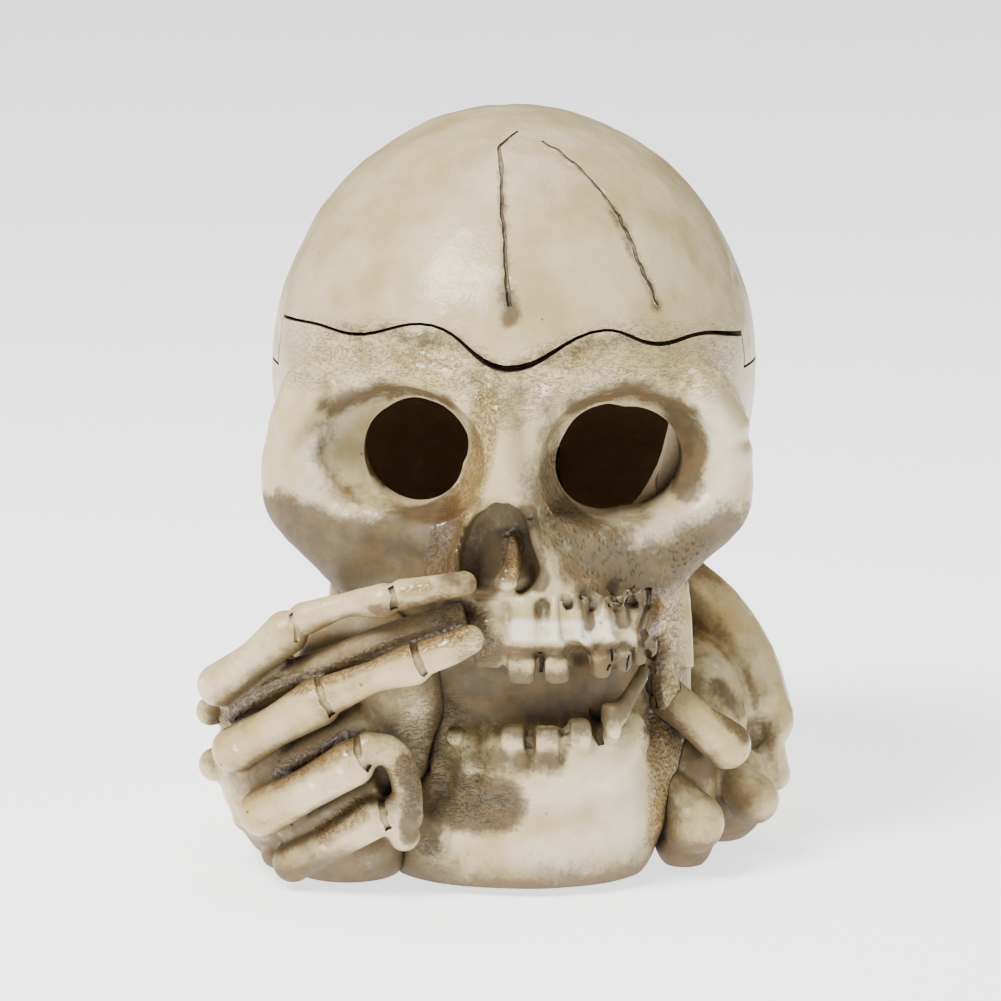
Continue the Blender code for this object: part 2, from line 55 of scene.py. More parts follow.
# %% Camera
TARGET = Vector((-2.2, 0, 60.6)) * MM
SENSOR = 36  # millimetres of film across
DISTANCE = 900 * MM
AZIMUTH, ELEVATION = math.radians(2.5), math.radians(10)
VIEW_WIDTH = 178.2 * MM  # what the frame spans at the target

camera_data = bpy.data.cameras.new("camera")
camera_data.sensor_width = SENSOR
camera_data.lens = SENSOR * DISTANCE / VIEW_WIDTH
camera_data.clip_start = 0.01
camera = bpy.data.objects.new("camera", camera_data)
bpy.context.scene.collection.objects.link(camera)
level = math.cos(ELEVATION)
towards = Vector((math.sin(AZIMUTH) * level, -math.cos(AZIMUTH) * level, math.sin(ELEVATION)))
camera.location = TARGET + towards * DISTANCE
camera.rotation_euler = towards.to_track_quat("Z", "Y").to_euler()
bpy.context.scene.camera = camera
print("lens", round(camera_data.lens), "mm")

# %% [markdown]
# ## Floor and lights
# The light is that of a studio table: one broad soft light high on the left, a weaker one on the
# right, a third from above and a pale floor. The stage isn't part of the ornament.

# %% Floor and lights
WORLD_LIGHT = 0.16
FLOOR_SIDE = 6  # metres


def area_light(name, place, size, power, colour=(1, 1, 1)):
    """A square soft light that looks at the ornament, with its place and size in metres."""
    data = bpy.data.lights.new(name, "AREA")
    data.size = size
    data.energy = power
    data.color = colour
    light = bpy.data.objects.new(name, data)
    light.location = place
    light.rotation_euler = (Vector(place) - TARGET).to_track_quat("Z", "Y").to_euler()
    bpy.context.scene.collection.objects.link(light)
    print(name, power, "W")


area_light("key light", (-0.5, -0.6, 0.95), 0.4, 27, (1, 0.985, 0.96))
area_light("fill light", (0.8, -0.5, 0.5), 0.5, 2.8, (0.97, 0.99, 1))
area_light("top light", (0, 0.25, 1.1), 0.6, 6)
world = bpy.data.worlds.new("studio")
bpy.context.scene.world = world
world.use_nodes = True
world.node_tree.nodes["Background"].inputs["Color"].default_value = (1, 1, 1, 1)
world.node_tree.nodes["Background"].inputs["Strength"].default_value = WORLD_LIGHT

bpy.ops.mesh.primitive_plane_add(size=FLOOR_SIDE)
floor = bpy.context.object
floor.name = "floor"

# %% [markdown]
# ## Tools for clay
# Bone has no straight edge, so the castings are modelled as a sculptor works in clay, from balls and
# limbs laid over each other. Each shape is closed, has its sizes in millimetres, and has its place
# and turn put into its mesh, so that the shapes can be joined.

# %% Balls, limbs and blocks


def only(obj):
    """Makes an object the only selected one."""
    bpy.ops.object.select_all(action="DESELECT")
    obj.select_set(True)
    bpy.context.view_layer.objects.active = obj
    return obj


def settled(obj):
    """Puts an object's place, turn and scale into its mesh."""
    only(obj)
    bpy.ops.object.transform_apply(location=True, rotation=True, scale=True)
    return obj


def radians(turn):
    return Euler([math.radians(angle) for angle in turn])


def ball(centre, radii, turn=(0, 0, 0), rings=16):
    bpy.ops.mesh.primitive_uv_sphere_add(
        segments=2 * rings,
        ring_count=rings,
        radius=MM,
        location=Vector(centre) * MM,
        rotation=radians(turn),
        scale=radii,
    )
    return settled(bpy.context.object)


def block(centre, size, turn=(0, 0, 0), rounding=0.0):
    """A box, with its edges rounded where a rounding is given."""
    bpy.ops.mesh.primitive_cube_add(size=MM, location=Vector(centre) * MM, rotation=radians(turn), scale=size)
    box = settled(bpy.context.object)
    if rounding:
        bevel = box.modifiers.new("Rounding", "BEVEL")
        bevel.width = rounding * MM
        bevel.segments = 3
        bpy.ops.object.modifier_apply(modifier=bevel.name)
    return box


def rod(start, end, radius, sides=32):
    along = Vector(end) - Vector(start)
    bpy.ops.mesh.primitive_cylinder_add(
        vertices=sides,
        radius=radius * MM,
        depth=along.length * MM,
        location=(Vector(start) + Vector(end)) / 2 * MM,
        rotation=along.to_track_quat("Z", "Y").to_euler(),
    )
    return settled(bpy.context.object)


def welded(obj):
    """Closes a shape whose caps are loose, and turns its faces outwards."""
    only(obj)
    bpy.ops.object.mode_set(mode="EDIT")
    bpy.ops.mesh.select_all(action="SELECT")
    bpy.ops.mesh.remove_doubles(threshold=1e-6)
    bpy.ops.mesh.normals_make_consistent(inside=False)
    bpy.ops.object.mode_set(mode="OBJECT")
    return obj


def limb(points):
    """A rounded limb along a smooth curve, through points (x, y, z, radius)."""
    data = bpy.data.curves.new("limb", "CURVE")
    data.dimensions = "3D"
    data.bevel_depth = MM
    data.bevel_resolution = 4
    data.resolution_u = 8
    data.use_fill_caps = True
    spline = data.splines.new("BEZIER")
    spline.bezier_points.add(len(points) - 1)
    for knot, (x, y, z, radius) in zip(spline.bezier_points, points):
        knot.co = Vector((x, y, z)) * MM
        knot.radius = radius
        knot.handle_left_type = "AUTO"
        knot.handle_right_type = "AUTO"
    obj = bpy.data.objects.new("limb", data)
    bpy.context.scene.collection.objects.link(obj)
    only(obj)
    bpy.ops.object.convert(target="MESH")
    return welded(bpy.context.object)


def bone(points):
    """A limb with a round ball at each of its points."""
    return [limb(points)] + [ball((x, y, z), (r, r, r), rings=12) for x, y, z, r in points]


# %% [markdown]
# ## Fuse, soften and carve
# A voxel Remesh fuses overlapping lumps into one skin, and Smooth rounds the joins. Booleans then cut
# the sockets. A finer voxel keeps smaller detail, so the voxel shrinks as the work goes on.

# %% Fusing, softening and carving


def joined(objects):
    """Several meshes as one object, still overlapping."""
    only(objects[0])
    for obj in objects:
        obj.select_set(True)
    if len(objects) > 1:
        bpy.ops.object.join()
    return bpy.context.object


def apply_modifiers(obj):
    only(obj)
    for modifier in list(obj.modifiers):
        bpy.ops.object.modifier_apply(modifier=modifier.name)
    return obj


def fused(objects, voxel, passes=0):
    """One skin over several lumps, softened by some passes of Smooth."""
    obj = joined(objects)
    remesh = obj.modifiers.new("Fuse", "REMESH")
    remesh.mode = "VOXEL"
    remesh.voxel_size = voxel * MM
    if passes:
        smooth = obj.modifiers.new("Soften", "SMOOTH")
        smooth.iterations = passes
    return apply_modifiers(obj)


def carved(obj, tools, operation="DIFFERENCE"):
    """Cuts, joins or intersects a clay body with other closed shapes, which are used up."""
    for tool in tools:
        boolean = obj.modifiers.new("Carve", "BOOLEAN")
        boolean.operation = operation
        boolean.object = tool
        boolean.solver = "MANIFOLD"
    apply_modifiers(obj)
    for tool in tools:
        bpy.data.objects.remove(tool, do_unlink=True)
    return obj


def thinned(obj, triangles):
    """Collapses the flattest faces first, down to a number of triangles."""
    obj.data.calc_loop_triangles()
    now = len(obj.data.loop_triangles)
    if now > triangles:
        decimate = obj.modifiers.new("Thin", "DECIMATE")
        decimate.ratio = triangles / now
        apply_modifiers(obj)
    return obj


def twin(obj):
    """A copy with a mesh of its own."""
    other = bpy.data.objects.new(obj.name, obj.data.copy())
    bpy.context.scene.collection.objects.link(other)
    return other


# %% [markdown]
# ## Strokes
# What a hand would draw with a brush is done by strokes, which push the points near a path in or out.
# NumPy moves all the points at once, so that a stroke on a fine mesh takes a moment.

# %% Strokes


class Clay:
    """The points of a body in millimetres, and brushes that move them."""

    def __init__(self, obj):
        self.obj = obj
        count = len(obj.data.vertices)
        self.points = np.empty(count * 3, np.float32)
        obj.data.vertices.foreach_get("co", self.points)
        self.points = self.points.reshape(-1, 3) * 1000
        self.read_normals()

    def read_normals(self):
        self.normals = np.empty(len(self.points) * 3, np.float32)
        self.obj.data.vertex_normals.foreach_get("vector", self.normals)
        self.normals = self.normals.reshape(-1, 3)

    def write(self):
        self.obj.data.vertices.foreach_set("co", (self.points * MM).ravel())
        self.obj.data.update()
        self.read_normals()
        return self

    def from_path(self, path, reach, seen_from_front):
        """Each point's distance from a path, as a share of the reach, and 1 where it's out of reach."""
        axes = (0, 2) if seen_from_front else (0, 1, 2)
        places = self.points[:, axes]
        share = np.ones(len(places), np.float32)
        knots = [np.array(knot, np.float32) for knot in path]
        for start, end in zip(knots[:-1], knots[1:]):
            low = np.minimum(start, end) - reach
            high = np.maximum(start, end) + reach
            near = np.flatnonzero(((places > low) & (places < high)).all(axis=1))
            along = end - start
            at = np.clip((places[near] - start) @ along / max(along @ along, 1e-9), 0, 1)
            away = np.linalg.norm(places[near] - start - at[:, None] * along, axis=1) / reach
            share[near] = np.minimum(share[near], away)
        if seen_from_front:
            # A stroke fades where the skin turns away from the front, and towards the back.
            facing = np.clip(0.7 - 2 * self.normals[:, 1], 0, 1)
            forward = np.clip(-1 - self.points[:, 1] / 8, 0, 1)
            share = 1 - (1 - share) * (facing * forward)
        return share

    def stroke(self, path, reach, height, front=True):
        """Raises the skin along a path by a height, or presses it in where the height is negative."""
        share = self.from_path(path, reach, front)
        lift = (1 - share**2) ** 2 * height
        self.points += lift[:, None] * self.normals
        return self


def lattice_noise(points, size, seed):
    """Smooth noise from -1 to 1, with lumps of about the given size."""
    table = np.random.default_rng(seed).uniform(-1, 1, (32, 32, 32)).astype(np.float32)
    place = points / size
    cell = np.floor(place).astype(int)
    part = place - cell
    part = part * part * (3 - 2 * part)
    total = np.zeros(len(points), np.float32)
    for corner in np.ndindex(2, 2, 2):
        weight = np.prod(np.where(corner, part, 1 - part), axis=1)
        x, y, z = ((cell + corner) % 32).T
        total += weight * table[x, y, z]
    return total


# %% [markdown]
# ## The head in one lump
# The cranium is an egg. The face is a second, flatter egg pushed through its front, so brow and
# cheeks grow out of the cranium with no edge. The cast foot under the head is a third.

# %% Block in the head
CRANIUM = ((0, 6, 84), (43, 50, 46.5))  # centre and radii
AIR_Z = 63.35  # the height of the air inlet, and of the boss round it at the rear
# The rim runs down the outside of the eye, turns under it as the cheek and ends in the jaw.
RIM = (
    (32, -31, 87, 6),
    (35.5, -27, 77, 6),
    (35.3, -24.5, 65.8, 7.3),
    (29, -27.5, 59.8, 7.4),
    (20, -33, 52, 8),
    (15, -36, 47, 6),
)
CHEEK_ARCH = ((35, -20, 64.5, 6.5), (37.5, -4, 62.5, 4.8), (35, 10, 62, 5))


def on_side(side, points):
    """Points for the left (-1) or the right (1), from those of the right."""
    return [(side * x, *rest) for x, *rest in points]


def face_lumps():
    lumps = [
        ball((0, -14, 76), (41.5, 33.5, 21)),
        ball((0.5, -37, 75), (7.5, 13, 15)),
        ball((1, -29, 54), (24, 22, 15.5)),
    ]
    for side in (-1, 1):
        lumps.append(limb(on_side(side, RIM)))
        lumps.append(ball((side * 35.2, -24.5, 65.6), (7.4, 8, 7.6)))
        lumps.append(limb(on_side(side, CHEEK_ARCH)))
    return lumps


def jaw_lumps():
    """The back of the skull, the foot that it stands on, and the chin."""
    lumps = [
        ball((0, 15, 62), (37, 39.5, 32)),
        ball((0, 6, 24), (33, 42, 34)),
        ball((0, 12, 44), (30.5, 36, 22)),
        ball((0, -20, 36), (26, 25, 27)),
        ball((3, -30, 15), (24.5, 20, 19)),
        ball((2.5, -31.5, 7.5), (24, 17.5, 14)),
        limb(((-13, -41, 24, 5.5), (3, -45.8, 23, 7), (15, -42.5, 24, 7), (21.5, -35, 28, 5.5))),
        ball((26.5, -21, 41), (5.6, 9.6, 15)),
    ]
    for side in (-1, 1):
        lumps.append(limb(on_side(side, ((22, -33, 10, 6), (26.5, -24, 25, 5.5), (27, -17, 50, 5)))))
    lumps.append(rod((0, 34, AIR_Z), (0, 51, AIR_Z), 9.5))
    return lumps


head = fused([ball(*CRANIUM, rings=48)] + face_lumps() + jaw_lumps(), 1.2, passes=9)
print("head:", len(head.data.vertices), "points")

# %% [markdown]
# ## Sockets, nose and mouth
# Each eye socket is a scooped funnel with a round hole through its middle, set towards the nose.
# The nose is a pear-shaped hollow and the mouth a bent slot, both closed behind.

# %% Carve the hollows


def outline(points, y_low, y_high):
    """A smooth closed outline of (x, z) points made thick along Y."""
    data = bpy.data.curves.new("outline", "CURVE")
    data.dimensions = "2D"
    data.fill_mode = "BOTH"
    data.extrude = (y_high - y_low) / 2 * MM
    data.resolution_u = 8
    spline = data.splines.new("BEZIER")
    spline.bezier_points.add(len(points) - 1)
    spline.use_cyclic_u = True
    for knot, (x, z, kind) in zip(spline.bezier_points, points):
        knot.co = Vector((x, z, 0)) * MM
        knot.handle_left_type = kind
        knot.handle_right_type = kind
    obj = bpy.data.objects.new("outline", data)
    bpy.context.scene.collection.objects.link(obj)
    obj.location = (0, (y_low + y_high) / 2 * MM, 0)
    obj.rotation_euler = (math.pi / 2, 0, 0)
    only(obj)
    bpy.ops.object.convert(target="MESH")
    return welded(settled(bpy.context.object))


def smooth_points(points):
    return [(x, z, "AUTO") for x, z in points]


NOSE = (
    (0.6, 69.4), (-3.8, 66.8), (-6.4, 62.5), (-7.6, 57), (-5.4, 53.6),
    (0, 53), (4.8, 53.6), (7, 56), (5.4, 62), (3.4, 67.4),
)
# The mouth: x, how far behind its front, z, radius.
MOUTH = (
    (-18, 0, 35, 3.6),
    (-4, -1, 35.2, 4.4),
    (8, -1, 35.3, 4.6),
    (17, 3, 36.6, 4.2),
    (24, 8.5, 38.8, 3.2),
    (28, 14, 40, 2.4),
)


def scoops():
    """The two eye sockets, the nose, and two passes of the mouth, one behind the other."""
    tools = [
        ball((-19.3, -46, 75.4), (16.4, 20.5, 12.9), rings=32),
        ball((22.4, -45, 74.6), (16, 20.5, 13.2), rings=32),
        outline(smooth_points(NOSE), -75, -40),
    ]
    for front in (-52, -47):
        slot = [(x, front + behind, z, radius) for x, behind, z, radius in MOUTH]
        x, y, z, radius = slot[-1]
        tools += [limb(slot), ball((x, y, z), (radius, radius, radius))]
    return tools


head = carved(head, scoops())
head = fused([head], 0.8, passes=3)
print("carved head:", len(head.data.vertices), "points")

# %% [markdown]
# ## Teeth and roots
# Teeth are small boxes with rounded edges, turned to follow the jaw. Above each one, the root swells
# the bone. They are laid on the head and fused with it, since the real ones are cast in one with it.

# %% Lay on the upper jaw
TOOTH_DEPTH = 4.2
TOOTH_MIDDLE = 2.0  # about how far a tooth's middle lies behind its face
# Each tooth: x, y of its face, z of its middle, width, height, turn about Z.
UPPER_TEETH = (
    (3.6, -53.4, 41, 4.7, 5.2, 0),
    (9.6, -53.2, 41, 4.3, 5, 4),
    (16.7, -50.8, 41.3, 3.5, 4.8, 22),
    (20.1, -48.4, 41.7, 2.9, 4.4, 38),
    (22.6, -45.6, 42.1, 2.6, 4.0, 50),
    (24.3, -42.6, 42.8, 2.4, 3.6, 62),
)
LOWER_TEETH = (
    (-7.8, -50.6, 28.6, 3.0, 3.2, -6),
    (2.3, -52.2, 28.7, 4.4, 4.4, 0),
    (8.0, -52.2, 28.5, 5.2, 4.4, 4),
    (13.2, -51, 29.4, 4.0, 4.8, 14),
    (18.6, -48.4, 31.0, 2.4, 6.0, 34),
)
STUMP = (-2, -51, 42.6, 4.6, 3.4, 0)
# Where the roots swell the bone: x, y.
ROOTS = ((-3.5, -48.5), (4.2, -50), (9.6, -49.8), (13.6, -48.7), (17.8, -46.6), (20.7, -44), (23, -41.2))
RIDGE = (
    (-10, -45.5, 46.5, 4.4),
    (0, -47.6, 46.6, 4.6),
    (8, -47.6, 46.6, 4.6),
    (15, -45.2, 46.6, 4.4),
    (20.5, -41.5, 46.6, 4.2),
    (25, -35, 47, 4),
)
NOSE_SPINE = ((1.6, -42, 61.5, 1.3), (1.9, -45, 58.5, 1.6), (1.3, -48.6, 56, 2))
# The broken edge that climbs to the corner of the mouth, and two columns of the jaw's branch behind it.
BROKEN_EDGE = ((19.5, -46.5, 31.5, 1.8), (21.5, -44.6, 34.5, 1.5), (24.6, -40.6, 39.2, 1.2))
FRONT_COLUMN = ((26.4, -29, 51, 2), (26.8, -29.4, 43, 1.8), (27.2, -29.6, 36, 2.2), (28.4, -29, 30, 3))
REAR_COLUMN = ((29.8, -23.5, 51, 1.8), (30.6, -25, 43, 1.7), (30.8, -26, 36, 1.8))


def tooth(x, y, z, width, height, turn, rounding):
    return block((x, y + TOOTH_MIDDLE, z), (width, TOOTH_DEPTH, height), (0, 0, turn), rounding)


def root(x, y):
    """The swelling of the bone over a tooth's root."""
    return limb(((x, y + 0.6, 53, 1.3), (x, y - 0.3, 48.5, 2.2), (x, y - 0.8, 45.6, 2.5)))


def upper_jaw():
    lumps = [limb(RIDGE)]
    lumps += [root(x, y) for x, y in ROOTS]
    lumps += [ball((x, y - 0.3, 45.4), (2.6, 2.4, 1.9), rings=10) for x, y in ROOTS]
    lumps += [tooth(*numbers, 1.1) for numbers in UPPER_TEETH]
    lumps += [limb(NOSE_SPINE), ball((0.9, -49.3, 55.2), (2.2, 1.6, 1.7))]
    lumps.append(tooth(*STUMP, 0.5))
    return lumps


def lower_jaw():
    lumps = [tooth(*numbers, 1.0) for numbers in LOWER_TEETH]
    lumps += [limb(path) for path in (BROKEN_EDGE, FRONT_COLUMN, REAR_COLUMN)]
    return lumps


head = fused([head] + upper_jaw() + lower_jaw(), 0.55, passes=2)
print("head with teeth:", len(head.data.vertices), "points")

# %% [markdown]
# ## Brush strokes on the face
# A stroke raises or presses the skin along a path. Seen from the front, a path needs only x and z.

# %% Draw the brows, cheeks and the bridge of the nose
clay = Clay(head)
for path, reach, height in (
    (((-36.5, 78), (-31, 87), (-18, 90.5), (-8, 89), (-2, 84)), 3.6, 1.5),
    (((5.5, 84), (12, 89), (21, 90.5), (32, 87.5), (39, 79)), 3.6, 1.5),
    (((-36.5, 74), (-33, 66.5), (-25, 62.2), (-16, 61.8), (-8, 66)), 3.6, 1.3),
    (((39.5, 74), (36, 66), (28, 61.2), (19, 60.8), (11, 65)), 3.6, 1.3),
    (((0.6, 89), (0.6, 80), (0.5, 71)), 3.4, 1.3),
    (((2.6, 69.5), (5.6, 64), (8, 57.5), (7, 54)), 1.8, 0.8),
    (((-3, 69.5), (-6.6, 64), (-8.4, 58)), 2.6, 1.0),
):
    clay.stroke(path, reach, height)
for path, reach, depth in (
    (((11, 66), (15, 58.5), (23, 54)), 7, -2.4),
    (((-9, 66), (-13, 58.5), (-22, 54)), 7, -2.8),
    (((-14, 25), (-10, 19), (-2, 16)), 7, -2.0),
    (((7, 51.6), (7.1, 47)), 1.5, -0.9),
    (((0.8, 51.6), (0.7, 47)), 1.5, -0.8),
    (((12.6, 44), (13.4, 41.4)), 2.4, -1.2),
    # Between the roots, above and below.
    (((10.4, 52.5), (11.2, 46.4)), 1.5, -1.1),
    (((14.2, 52.4), (14.9, 46.6)), 1.8, -1.1),
    (((19, 53), (20.4, 46.8)), 1.9, -1.3),
    (((22.2, 51.5), (22.9, 47.6)), 1.7, -0.9),
    (((10.8, 31), (10.7, 25)), 1.2, -0.9),
    (((5, 31), (5.1, 24.6)), 1.3, -1.0),
    (((-3.5, 30), (-3, 26), (-4.4, 21)), 1.8, -1.2),
    (((-9, 24), (-10, 18)), 2.4, -1.0),
):
    clay.stroke(path, reach, depth)
# A hand never leaves a surface quite even.
waves = 0.22 * lattice_noise(clay.points, 7, 1) + 0.1 * lattice_noise(clay.points, 2.6, 2)
clay.points += clay.normals * waves[:, None]
clay.write()
print("the strokes and the waves moved", len(clay.points), "points")

# %% [markdown]
# ## Cracks and grooves
# A crack is cut by a thin uneven limb that lies half in the skin. Its path is drawn from the front
# and dropped onto the surface, and a little chance makes it wander.

# %% Engrave
chance = np.random.default_rng(7)


def dropped(obj, x, z):
    """Where a line along Y first meets the body, from the front, in millimetres."""
    hit, place, _, _ = obj.ray_cast(Vector((x, -80, z)) * MM, Vector((0, 1, 0)))
    return place[1] / MM if hit else None


def engraved(obj, grooves, wander=0.25, step=1.6, depth=0.15):
    """Cuts grooves (path, radius). A path has points (x, z), or (x, z, scale) where its width changes."""
    cutters = []
    for path, radius in grooves:
        path = [tuple(knot) + (1,) * (3 - len(knot)) for knot in path]
        points = []
        for start, end in zip(path[:-1], path[1:]):
            pieces = max(1, round(math.dist(start[:2], end[:2]) / step))
            for i in range(pieces + (end is path[-1])):
                x, z, scale = (a + (b - a) * i / pieces for a, b in zip(start, end))
                x += chance.normal(0, wander)
                z += chance.normal(0, wander)
                y = dropped(obj, x, z)
                if y is not None:
                    points.append((x, y + depth, z, radius * scale * chance.uniform(0.7, 1.25)))
        if len(points) > 1:
            cutters.append(limb(points))
    return carved(obj, [joined(cutters)])


GROOVES = (
    # Between the teeth.
    (((6.7, 43.8), (6.7, 38.6)), 0.4),
    (((18.5, 43.9), (18.5, 39.6)), 0.32),
    (((21.6, 44), (21.5, 40.2)), 0.3),
    # The long crack between the jaws and the branch behind them.
    (((24.9, 52), (24.2, 46), (24.9, 40, 1.4), (24.8, 35), (26, 29.5)), 0.7),
    # The hole beside the last lower tooth, and the splits under the teeth.
    (((16.6, 31.5, 1.5), (16.5, 28.2, 1.2), (17, 26.8, 0.6)), 1.1),
)
engraved(head, GROOVES)
print("engraved head:", len(head.data.vertices), "points")

# %% [markdown]
# ## The cap comes off
# One head is cut in two along the seam, so the two castings match. Over the brow the seam is a wave,
# behind the temples it is level. The cap's half starts half a millimetre higher, which is the gap.

# %% Cut the seam
SEAM_GAP = 0.5
LEVEL_SEAM = 86  # its height behind the temples
STEP_Y = -9  # where the wave ends and the level seam begins
# The seam over the brow: x, z.
WAVE = (
    (-46, 94), (-39.5, 94.6), (-33, 95.2), (-26, 94.7), (-12, 97.3), (0.4, 90.9),
    (17, 96.4), (26, 93.5), (34, 94), (39.6, 92.4), (46, 91),
)
WAVE_TOP = 95.4  # below this the wave's lower edge is chipped
CHIPPED = 0.6
FAR_Y, FAR_TOP = 75, 149  # well outside the head
DOME = ((0, 6, 84), (38.5, 41, 42))
BOWL_FLOOR = 56
FOOT = 1.55  # the castings' flat underside, which stands on the pad
REAR_FLAT, REAR_LOW, REAR_HIGH = 53, 69, 99  # the flat at the rear for the hinge
SCREW_RADIUS = 1.35
HINGE_SCREWS = {"skull": 74.6, "cap": 92.2}
# The inlet's bore, the seat of its nut inside and the seat of its seal at the rear.
INLET = (
    ((0, 30, AIR_Z), (0, 70, AIR_Z), 3.6),
    ((0, 26, AIR_Z), (0, 42, AIR_Z), 7),
    ((0, 49.5, AIR_Z), (0, 70, AIR_Z), 7.5),
)
# The holes through the eyes: x, z, radius. Two make the right one longer than it is high.
EYES = ((-17.2, 73.4, 8.9), (19.4, 72.2, 9.4), (23, 72.2, 9.2))


def above_seam(rise, chipped=0.0):
    """Everything above the seam. Its low points can be chipped a little deeper."""
    points = [(x, z + rise - chipped * max(0, WAVE_TOP - z) / 4, "AUTO") for x, z in WAVE]
    corners = ((60, 91 + rise), (60, 150), (-60, 150), (-60, 94 + rise))
    points += [(x, z, "VECTOR") for x, z in corners]
    front = outline(points, -FAR_Y, STEP_Y + rise)
    # The two overlap a little, so that no sheet is left between them.
    start = STEP_Y + rise - 0.1
    low = LEVEL_SEAM + rise
    back = block((0, (start + FAR_Y) / 2, (low + FAR_TOP) / 2), (120, FAR_Y - start, FAR_TOP - low))
    return carved(front, [back], "UNION")


def hollow(floor_z):
    """The room inside the dome, flat at the bottom."""
    return carved(ball(*DOME, rings=40), [block((0, 0, floor_z - 40), (160, 160, 80))])


def below_foot():
    return block((0, 0, FOOT - 20), (200, 200, 40))


def behind_flat():
    middle = (0, REAR_FLAT + 13.5, (REAR_LOW + REAR_HIGH) / 2)
    return block(middle, (160, 27, REAR_HIGH - REAR_LOW))


def screw_holes(z):
    return [rod((x, 48.6, z), (x, 56, z), SCREW_RADIUS, 16) for x in (-6, 6)]


carved(head, [behind_flat(), below_foot()])
cap = twin(head)
carved(cap, [above_seam(SEAM_GAP)], "INTERSECT")
carved(cap, [hollow(BOWL_FLOOR)] + screw_holes(HINGE_SCREWS["cap"]))
print("cap:", len(cap.data.vertices), "points")

# %% [markdown]
# ## Two cracks, and the skull below
# The cap gets its two long cracks once it's apart, since no other piece has them. The skull's half is
# hollowed by the same room, then bored for the air inlet, the screws and the eyes.

# %% Crack the cap and bore the skull
LEFT_CRACK = (
    (1.2, 127.6, 0.8), (-1.6, 125.3), (-1.1, 122.6), (-0.9, 119.8),
    (-0.4, 115), (0.2, 109), (0.6, 104.8, 1.2), (1.2, 101, 1.5),
)
RIGHT_CRACK = (
    (5.6, 126, 0.6), (8.1, 124.9), (12.2, 122), (15.1, 119.2), (18.4, 115.2),
    (21.1, 111), (22.5, 107.3), (24.4, 103.1, 1.2), (25.9, 99.8, 0.6),
)
CRACK_RADIUS = 0.42
CRACKS = [(path, CRACK_RADIUS) for path in (LEFT_CRACK, RIGHT_CRACK)]
engraved(cap, CRACKS, wander=0.1, step=1.3, depth=0.25)
skull = carved(head, [above_seam(0, CHIPPED), hollow(BOWL_FLOOR)])
carved(skull, [rod(*numbers) for numbers in INLET] + screw_holes(HINGE_SCREWS["skull"]))
carved(skull, [rod((x, -3, 49), (x, -3, 60), SCREW_RADIUS, 16) for x in (-11.5, 11.5)])
carved(skull, [rod((x, -60, z), (x * 0.9, -22, z + 1), radius, 64) for x, z, radius in EYES])
print("cracked cap:", len(cap.data.vertices), "points; skull:", len(skull.data.vertices), "points")

# %% [markdown]
# ## The hands
# Two bony hands, each a casting of its own, hold the jaw. A finger is a row of bones, and each bone is
# a limb that is narrow in the middle. A web of clay lies deeper between the fingers.

# %% Lay up the right hand
RIGHT_BONES = (
    ((-48.8, -40, 35.2, 3.8), (-42, -45, 41, 3.2), (-36.5, -48, 46, 3.9)),
    ((-33.2, -49.5, 48.8, 2.9), (-26, -51.5, 51.6, 2.1), (-19.5, -53.5, 52.8, 3.0)),
    ((-16.2, -54, 54, 2.7), (-11, -54.5, 55.1, 2.3), (-6, -53.5, 55.8, 2.2)),
    ((-45.8, -43, 24.6, 4.1), (-38.4, -48.5, 29.9, 3.6), (-31, -52.5, 35, 4.3)),
    ((-28, -54, 36.9, 3.4), (-21, -56, 40.3, 2.7), (-14.6, -57, 42.6, 3.6)),
    ((-11.9, -57, 44, 3.0), (-8.2, -57.5, 45.5, 2.9), (-5, -56.8, 46.9, 2.6)),
    ((-41, -45, 14, 4.2), (-33, -50.5, 19.4, 3.7), (-25, -54.5, 25, 4.1)),
    ((-22.2, -54, 27.4, 3), (-18.6, -53.5, 26.8, 2.7), (-16.2, -52, 22, 2.6), (-15.8, -50.5, 15, 2.8)),
    ((-36, -43, 4.9, 3.6), (-28.5, -48, 9.8, 3.2), (-21.3, -51.5, 15, 3.7)),
    ((-18.3, -51.5, 16, 2.8), (-16.4, -50, 11.5, 2.8)),
)
RIGHT_KNOBS = (
    (-51.2, -31, 28.6, 2.6), (-50.2, -33, 19.6, 3), (-44.3, -36, 11.3, 2.9), (-39.4, -37, 4.9, 2.7),
)
RIGHT_WEBS = (
    (
        (-47, -37, 30, 3), (-38, -43, 36.5, 3), (-28.4, -47.5, 41, 3),
        (-18, -50, 46, 2.6), (-6, -50.5, 50, 2.4),
    ),
    ((-42, -40, 19, 3), (-30, -46.5, 27, 3), (-22, -50, 32, 3)),
    ((-37, -41, 9.8, 3), (-29, -45.5, 14.8, 3), (-20, -49, 20, 3)),
)


# The back of the hand and its wrist, as balls: centre and radii.
RIGHT_PALM = (
    ((-36, -16, 17), (14, 28, 19)),
    ((-33, -33, 21), (17, 13, 19)),
    ((-23, -39, 32), (14, 10.5, 18)),
    ((-27, -35, 7), (11.5, 12, 8.5)),
    ((-19.5, -41, 21), (4.5, 8, 12)),
)


